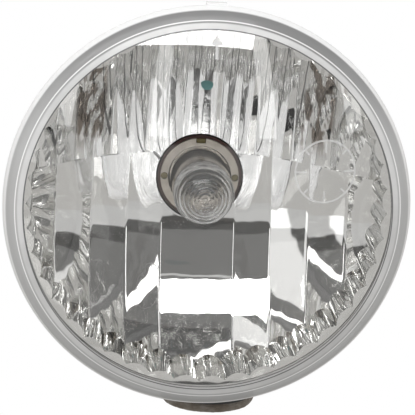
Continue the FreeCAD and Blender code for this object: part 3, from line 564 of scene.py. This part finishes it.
def bowl_wedge(name, edges, rise, start, stop, extra=0.0, lean=0.0):
    """The space in front of the bowl, between two planes through its level axis."""
    half, near = 47 * MM, 15 * MM
    count = 300
    centre = (0, BOWL_AXIS, 0)
    xs = [half * (2 * i / count - 1) for i in range(count + 1)]
    outline = [(x, BOWL_AXIS + eased_radius(x, edges, rise, lean) + extra, 0) for x in xs]
    outline += [(half, BOWL_AXIS + near, 0), (-half, BOWL_AXIS + near, 0)]
    bm = bmesh.new()
    geometry = wire(bm, outline, closed=True)
    turn = Matrix.Rotation(math.radians(start), 4, "X")
    shift = Matrix.Translation(centre)
    bmesh.ops.transform(bm, matrix=shift @ turn @ shift.inverted(), verts=bm.verts)
    steps = max(2, round((stop - start) / SWEEP_STEP))
    bmesh.ops.spin(bm, geom=geometry, cent=centre, axis=(1, 0, 0),
                   angle=math.radians(stop - start), steps=steps)
    ends = [edge for edge in bm.edges if edge.is_boundary]
    bmesh.ops.holes_fill(bm, edges=ends, sides=0)
    bmesh.ops.recalc_face_normals(bm, faces=bm.faces)
    return solid(name, bm)


def reeded_plug(name, front, back):
    """A round plug whose side is the reeded wall: each reed a convex curve, with sharp valleys
    between them."""
    bm = bmesh.new()
    points = []
    for i in range(REED_COUNT * REED_STEPS):
        angle = 2 * math.pi * i / (REED_COUNT * REED_STEPS)
        across = (i % REED_STEPS) / REED_STEPS * 2 - 1
        radius = REED_BORE - REED_HEIGHT * (1 - across * across)
        points.append((radius * math.cos(angle), front, radius * math.sin(angle)))
    outline = wire(bm, points, closed=True)
    face = bmesh.ops.edgeloop_fill(bm, edges=edges_in(outline))["faces"]
    side = bmesh.ops.extrude_face_region(bm, geom=face)["geom"]
    moved = [part for part in side if isinstance(part, bmesh.types.BMVert)]
    bmesh.ops.translate(bm, vec=(0, back - front, 0), verts=moved)
    bmesh.ops.recalc_face_normals(bm, faces=bm.faces)
    return solid(name, bm)


def plain_cylinder(name, radius, front, back):
    outline = [(0, front), (radius, front), (radius, back), (0, back)]
    return solid(name, turned(outline, 160, closed=False))


def make_reflector():
    """Fluted bowl inside a reeded wall; the upper half has flutes of half the width."""
    before, rim, behind = depth(-2), depth(0), depth(39.5)
    hollow = bowl_wedge("lower_bowl", LOWER_EDGES, LOWER_RISE, -BOWL_SWEEP, SPLIT_ANGLE)
    upper = bowl_wedge("upper_bowl", UPPER_EDGES, UPPER_RISE, SPLIT_ANGLE - SPLIT_OVERLAP,
                       BOWL_SWEEP, lean=UPPER_LEAN)
    combine(hollow, upper, "UNION")
    combine(hollow, reeded_plug("reeds", before, behind), "INTERSECT")
    shell = bowl_wedge("bowl_back", (), 0.0, -BOWL_SWEEP, BOWL_SWEEP, extra=BOWL_WALL)
    combine(shell, plain_cylinder("wall", REFLECTOR_RADIUS, rim, behind), "INTERSECT")
    combine(shell, hollow, "DIFFERENCE")
    combine(shell, plain_cylinder("bulb_way", BULB_HOLE, rim, behind), "DIFFERENCE")
    reflector = keep_piece("reflector_mirror", mesh_of(shell), "lamp", "mirror", sharp=22)
    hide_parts("reflector")


def make_reflector_lip():
    """The flat lip on the reflector's rim, with a shadow groove round the reeds."""
    inside = REED_BORE + 0.05 * MM
    face, groove, back = depth(0.05), depth(1.0), depth(1.4)
    profile = [(inside, depth(0.15)), (inside + 0.3 * MM, depth(0.0)),
               (inside + 0.4 * MM, groove), (inside + 0.9 * MM, groove),
               (inside + 1.0 * MM, face), (LIP_RADIUS, face), (LIP_RADIUS, back), (inside, back)]
    bm = turned(rounded(profile, 0.08 * MM), 256)
    keep_piece("reflector_lip", bm, "lamp", "mirror", SATIN_LIP, sharp=40)


# ---------------------------------------------------------------- lens

def dome_y(radius):
    """y of the dome's outer face at a radius."""
    return LENS_APEX + DOME_RADIUS - math.sqrt(DOME_RADIUS**2 - radius**2)


def lens_outline():
    """Dome, turned corner and skirt, outside and inside."""
    corner = LENS_RADIUS - LENS_CORNER
    turn = math.degrees(math.asin(corner / (DOME_RADIUS - LENS_CORNER))) - 90
    middle = (0, LENS_APEX + DOME_RADIUS)
    outer = arc(middle, DOME_RADIUS, -90, turn, 28)
    outer += arc((corner, RIM), LENS_CORNER, turn, 0, 14)[1:]
    inner = arc((corner, RIM), LENS_CORNER - LENS_WALL, 0, turn, 12)
    inner += arc(middle, DOME_RADIUS - LENS_WALL, turn, -90, 28)[1:]
    outer[0] = (0, outer[0][1])
    inner[-1] = (0, inner[-1][1])
    bore = LENS_RADIUS - LENS_WALL
    return outer + [(LENS_RADIUS - SKIRT_DRAFT, LENS_END), (bore, LENS_END)] + inner


def make_lens():
    """The lens, with its small locating tab at the top."""
    bm = turned(lens_outline(), 240, closed=False)
    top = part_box("lens")[1].z
    tab = bmesh.ops.create_cube(bm, size=1.0)["verts"]
    size = Vector((5 * MM, LENS_END - RIM, 0.9 * MM))
    centre = Vector((0, (RIM + LENS_END) / 2, top - size.z / 2))
    bmesh.ops.scale(bm, vec=size, verts=tab)
    bmesh.ops.translate(bm, vec=centre, verts=tab)
    lens = keep_piece("lens_shell", bm, "lamp", "lens", sharp=40)
    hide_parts("lens")


def on_dome(bm, proud):
    """Sets a flat shape, drawn in the XZ plane, onto the dome."""
    for vert in bm.verts:
        vert.co.y += dome_y(math.hypot(vert.co.x, vert.co.z)) - proud


def make_lens_marks():
    """A plain arrow that shows which way is up, and a plain ring of ticks for lining the light
    up."""
    proud = 0.06 * MM
    bm = bmesh.new()
    foot, shaft, point = 38.2 * MM, 3.2 * MM, 2.2 * MM
    head, stem = 1.5 * MM, 0.35 * MM
    points = [(-stem, 0), (stem, 0), (stem, shaft), (head, shaft), (0, shaft + point),
              (-head, shaft), (-stem, shaft)]
    outline = wire(bm, [(x, 0, z + foot) for x, z in points], closed=True)
    bmesh.ops.edgeloop_fill(bm, edges=edges_in(outline))
    on_dome(bm, proud)
    keep_piece("up_arrow", bm, "lamp", "lens", ETCHED_MARKS)

    ring_radius, line, ticks = 7.6 * MM, 0.45 * MM, 8
    place = (27.0 * MM, 0, 12.5 * MM)
    bm = bmesh.new()
    circle = wire(bm, [(ring_radius - line, 0, 0), (ring_radius, 0, 0)], closed=False)
    bmesh.ops.spin(bm, geom=circle, cent=(0, 0, 0), axis=(0, 1, 0), angle=2 * math.pi, steps=64,
                   use_merge=True)
    for tick in range(ticks):
        bar = bmesh.ops.create_grid(bm, x_segments=1, y_segments=1, size=0.5)["verts"]
        length = (2.6 if tick % 2 == 0 else 1.4) * MM
        bmesh.ops.scale(bm, vec=(length, line, 1), verts=bar)
        turn_parts(bm, bar, 90, "X")
        bmesh.ops.translate(bm, vec=(ring_radius - length / 2 - line, 0, 0), verts=bar)
        turn_parts(bm, bar, 360 / ticks * tick, "Y")
    bmesh.ops.translate(bm, vec=place, verts=bm.verts)
    on_dome(bm, proud)
    keep_piece("aim_ring", bm, "lamp", "lens", ETCHED_MARKS)


# ---------------------------------------------------------------- bulb

def make_bulb_glass():
    """A round-ended tube that narrows to a neck."""
    tip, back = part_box("bulb_glass")[0].y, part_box("bulb_glass")[1].y
    radius, wall, waist = 7.75 * MM, 0.9 * MM, 6.2 * MM
    shoulder, neck = depth(33), depth(37)
    outer = arc((0, tip + radius), radius, -90, 0, 16)
    inner = arc((0, tip + radius), radius - wall, 0, -90, 16)
    outer[0] = (0, outer[0][1])
    inner[-1] = (0, inner[-1][1])
    outline = outer + [(radius, shoulder), (waist, neck), (waist, back), (waist - wall, back),
                       (waist - wall, neck), (radius - wall, shoulder)] + inner
    bm = turned(outline, 96, closed=False)
    glass = keep_piece("bulb_envelope", bm, "bulb", "bulb_glass", sharp=50)
    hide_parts("bulb_glass")


def make_filament():
    """A coil of tungsten wire between its two leads."""
    low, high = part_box("bulb_filament")
    centre_y = (low.y + high.y) / 2
    wire_radius, coil_radius, turns, per_turn = 0.13 * MM, 0.5 * MM, 11, 12
    bm = bmesh.new()
    ring = bmesh.ops.create_circle(bm, segments=6, radius=wire_radius)["verts"]
    bmesh.ops.translate(bm, vec=(0, coil_radius, 0), verts=ring)
    geometry = ring + list({edge for vert in ring for edge in vert.link_edges})
    pitch = (high.x - low.x) / turns
    bmesh.ops.spin(bm, geom=geometry, cent=(0, 0, 0), axis=(1, 0, 0),
                   dvec=(pitch / per_turn, 0, 0), angle=2 * math.pi * turns,
                   steps=per_turn * turns)
    bmesh.ops.translate(bm, vec=(low.x, centre_y, 0), verts=bm.verts)
    bmesh.ops.recalc_face_normals(bm, faces=bm.faces)
    coil = keep_piece("filament_coil", bm, "bulb", "tungsten")
    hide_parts("bulb_filament")


def make_bulb_cup():
    """The pressed cup behind the ring, stepped down to the glass."""
    front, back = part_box("bulb_cup")[0].y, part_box("bulb_cup")[1].y
    rim, wall = 8.25 * MM, 0.4 * MM
    inside = [(rim, front), (rim - 0.5 * MM, front + 1.3 * MM),
              (rim - 1.3 * MM, front + 1.6 * MM), (rim - 1.5 * MM, front + 3.2 * MM),
              (6.4 * MM, front + 3.5 * MM), (6.3 * MM, back - wall), (0, back - wall)]
    outside = [(0, back), (rim - 0.6 * MM, back), (rim - 0.05 * MM, front + 0.2 * MM)]
    bm = turned(rounded(inside + outside, 0.15 * MM), 96, closed=False)
    cup = keep_piece("bulb_cup_stepped", bm, "bulb", "ring_steel", sharp=45)
    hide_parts("bulb_cup")


def make_locating_pips():
    """Three moulded pips of the base that show in the ring's notch and round holes."""
    low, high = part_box("bulb_ring")
    front, back = low.y + 0.3 * MM, high.y
    middle, length = (front + back) / 2, back - front
    pip_circle, pip_radius, below_edge = 9.3 * MM, 0.85 * MM, 0.75 * MM
    bm = bmesh.new()
    block = bmesh.ops.create_cube(bm, size=1.0)["verts"]
    bmesh.ops.scale(bm, vec=(2.3 * MM, length, 1.1 * MM), verts=block)
    bmesh.ops.translate(bm, vec=(0, middle, high.x - below_edge), verts=block)
    for side in (-1, 1):
        disc = bmesh.ops.create_cone(bm, cap_ends=True, segments=32, radius1=pip_radius,
                                     radius2=pip_radius, depth=length)["verts"]
        turn_parts(bm, disc, 90, "X")
        bmesh.ops.translate(bm, vec=(side * pip_circle, middle, 0), verts=disc)
    at_front = [e for e in bm.edges if all(v.co.y < front + 0.01 * MM for v in e.verts)]
    bmesh.ops.bevel(bm, geom=at_front, offset=0.15 * MM, affect="EDGES", segments=2, profile=0.5,
                    material=-1)
    keep_piece("locating_pips", bm, "bulb", "bulb_plastic", PIP_PLASTIC, sharp=50)


# ---------------------------------------------------------------- foot pad and teal dot

def make_foot_pad():
    """A felt disc with a hole, a little ragged at its edge."""
    low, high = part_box("foot_pad")
    middle = (low + high) / 2
    radius, half = (high.x - low.x) / 2, (high.z - low.z) / 2
    hole, edge, ragged = 4.5 * MM, 0.5 * MM, 0.1 * MM
    bm = bmesh.new()
    points = [(hole, 0), (hole + edge, ragged - half), (radius - edge, ragged - half),
              (radius - ragged, -half / 2), (radius - ragged, half / 2), (radius - edge, half),
              (hole + edge, half)]
    geometry = wire(bm, [(r, 0, z) for r, z in points], closed=True)
    spin_all_round(bm, geometry, 120, axis=(0, 0, 1))
    bmesh.ops.subdivide_edges(bm, edges=bm.edges, cuts=2, use_grid_fill=True)
    bmesh.ops.translate(bm, vec=middle, verts=bm.verts)
    for vert in bm.verts:
        outward = (vert.co - middle).normalized()
        fibres = noise.noise(vert.co / (0.7 * MM)) * 0.10 * MM
        waves = noise.noise(vert.co / (2.5 * MM)) * 0.12 * MM
        vert.co += outward * min(fibres + waves, ragged)
        vert.co.z = max(min(vert.co.z, high.z), low.z)
    pad = keep_piece("felt_pad", bm, "bracket", "felt", sharp=180)
    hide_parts("foot_pad")


def make_teal_dot():
    """A small raised teal dot on the upper part of the reflector."""
    x, z, proud = 0.6 * MM, 25.4 * MM, 0.3 * MM
    radius = bowl_radius(x, UPPER_EDGES, UPPER_RISE, UPPER_LEAN)
    y = BOWL_AXIS + math.sqrt(radius**2 - z**2)
    bm = bmesh.new()
    bmesh.ops.create_uvsphere(bm, u_segments=24, v_segments=12, radius=1.0)
    bmesh.ops.scale(bm, vec=(1.6 * MM, 0.7 * MM, 1.5 * MM), verts=bm.verts)
    turn_parts(bm, bm.verts, -math.degrees(math.asin(z / radius)), "X")
    bmesh.ops.translate(bm, vec=(x, y - proud, z), verts=bm.verts)
    keep_piece("teal_dot", bm, "lamp", "membrane", TEAL_DOT_FINISH)


# ---------------------------------------------------------------- studio

TABLE_GREY = colour(0.58, 0.57, 0.55)
CARD_SIDES = (-44 * MM, 14 * MM)
CARD_ENDS = (RIM - 42 * MM, RIM - 22 * MM)


def make_floor():
    """A white table. In mirrors it is light grey, with a dark card lying in front of the
    light."""
    bm = bmesh.new()
    bmesh.ops.create_grid(bm, x_segments=1, y_segments=1, size=2.0)
    bmesh.ops.translate(bm, vec=(0, 0, FLOOR_HEIGHT), verts=bm.verts)
    mesh = bpy.data.meshes.new("floor")
    bm.to_mesh(mesh)
    bm.free()
    floor = bpy.data.objects.new("floor", mesh)
    scene.collection.objects.link(floor)
    finish = Finish("white_table")
    camera_ray = finish.node("ShaderNodeLightPath", out="Is Camera Ray")
    seen = (camera_ray + finish.node("ShaderNodeLightPath", out="Is Transmission Ray")).least(1.0)
    white, table, dark = (
        finish.node("ShaderNodeEmission", inputs={"Color": tone, "Strength": 1.0})
        for tone in (grey(1.0), TABLE_GREY, grey(0.03)))
    x, y, _ = finish.axes()
    card = x.within(*CARD_SIDES, 1 * MM) * y.within(*CARD_ENDS, 1 * MM)
    mirrored = finish.blend(card, table, dark)
    mesh.materials.append(finish.done(finish.blend(seen, mirrored, white)))


# Upright tubes round the light: where each starts, in degrees to the right, and its width.
LIGHT_POLES = ((-67.5, 1.5), (-41, 4), (-14, 4.5), (17, 4.5), (43, 4.5))
POLE_LEVEL = 2.6


def make_studio():
    """What stands round the light: a grey room, a bright gap near the table, white panels and
    thin upright tubes. Heights and bearings are in degrees, seen from the light."""
    world = bpy.data.worlds.new("studio")
    scene.world = world
    finish = Finish("studio", world)
    direction = finish.node("ShaderNodeTexCoord", out="Generated")
    x, y, z = finish.axes(direction)
    height = z.calculate("ARCSINE", z) * DEGREES
    bearing = x.calculate("ARCTAN2", x, y * -1) * DEGREES
    aside = bearing.size()
    room = height.rises(13, 14) * 0.13 + height.rises(8, 7) * 0.62 + 0.02
    frame_line = height.within(35.6, 36.4, 0.3) * bearing.within(-36, 12, 1) * 0.5
    left_panel = bearing.within(-59.5, -46, 0.8) * height.rises(74, 72) * 0.95
    right_panel = bearing.within(75, 110, 1) * height.rises(64, 60) * 0.8
    stripes = (bearing * (2 * math.pi / 15)).sine().rises(0.62, 0.72)
    side_strips = stripes * aside.rises(84, 86) * height.within(18, 82, 2) * 0.9
    tubes = sum((bearing.within(at, at + width, 0.4) for at, width in LIGHT_POLES), start=0)
    poles = tubes * POLE_LEVEL * height.within(10, 78, 1)
    rear = aside.rises(105, 125) * 0.35
    level = room + frame_line + left_panel + right_panel + side_strips + poles + rear
    warm = {"Color": colour(1.0, 0.997, 0.988), "Strength": level}
    lit = finish.node("ShaderNodeBackground", inputs=warm)
    plain = {"Color": grey(1.0), "Strength": 1.0}
    white = finish.node("ShaderNodeBackground", inputs=plain)
    seen = finish.node("ShaderNodeLightPath", out="Is Camera Ray")
    finish.done(finish.blend(seen, lit, white), "ShaderNodeOutputWorld")


def way_to(azimuth, elevation):
    """Unit vector towards a direction in degrees, from the light's front to the right and up."""
    a, e = math.radians(azimuth), math.radians(elevation)
    return Vector((math.sin(a) * math.cos(e), -math.cos(a) * math.cos(e), math.sin(e)))


def facing(way, roll):
    """Rotation of a lamp or camera that stands out along a way and looks back."""
    turned_back = (-way).to_track_quat("-Z", "Y")
    return (turned_back @ Quaternion((0, 0, 1), math.radians(roll))).to_euler()


def make_lamp(name, azimuth, elevation, distance, size, radiance, roll):
    """A softbox that faces the light; its power follows from its radiance."""
    data = bpy.data.lights.new(name, "AREA")
    data.shape = "RECTANGLE"
    data.size, data.size_y = size
    data.energy = radiance * math.pi * size[0] * size[1]
    lamp = bpy.data.objects.new(name, data)
    scene.collection.objects.link(lamp)
    way = way_to(azimuth, elevation)
    lamp.location = Vector((0, RIM, 0)) + way * distance
    lamp.rotation_euler = facing(way, roll)
    lamp.visible_camera = False


def make_camera(azimuth, elevation, distance, roll):
    data = bpy.data.cameras.new("camera")
    data.sensor_width = 36
    data.lens = 163
    camera = bpy.data.objects.new("camera", data)
    scene.collection.objects.link(camera)
    way = way_to(azimuth, elevation)
    camera.location = Vector((0, RIM, 0.25 * MM)) + way * distance
    camera.rotation_euler = facing(way, roll)
    scene.camera = camera


# ---------------------------------------------------------------- assembly

for node_name, node in frame["nodes"].items():
    node.data.materials.clear()
    node.data.materials.append(FINISHES[SLOT_OF[node_name]])

make_reflector()
make_reflector_lip()
make_lens()
make_lens_marks()
make_bulb_glass()
make_filament()
make_bulb_cup()
make_locating_pips()
make_foot_pad()
make_teal_dot()
make_floor()
make_studio()
make_lamp("key_softbox", azimuth=-18.5, elevation=46.2, distance=0.6, size=(0.62, 0.19),
          radiance=8.0, roll=9.5)
make_camera(azimuth=-4.0, elevation=13.5, distance=0.46, roll=2.7)

scene.view_settings.view_transform = "Standard"
scene.cycles.glossy_bounces = 8
scene.cycles.transmission_bounces = 10
scene.cycles.transparent_max_bounces = 16
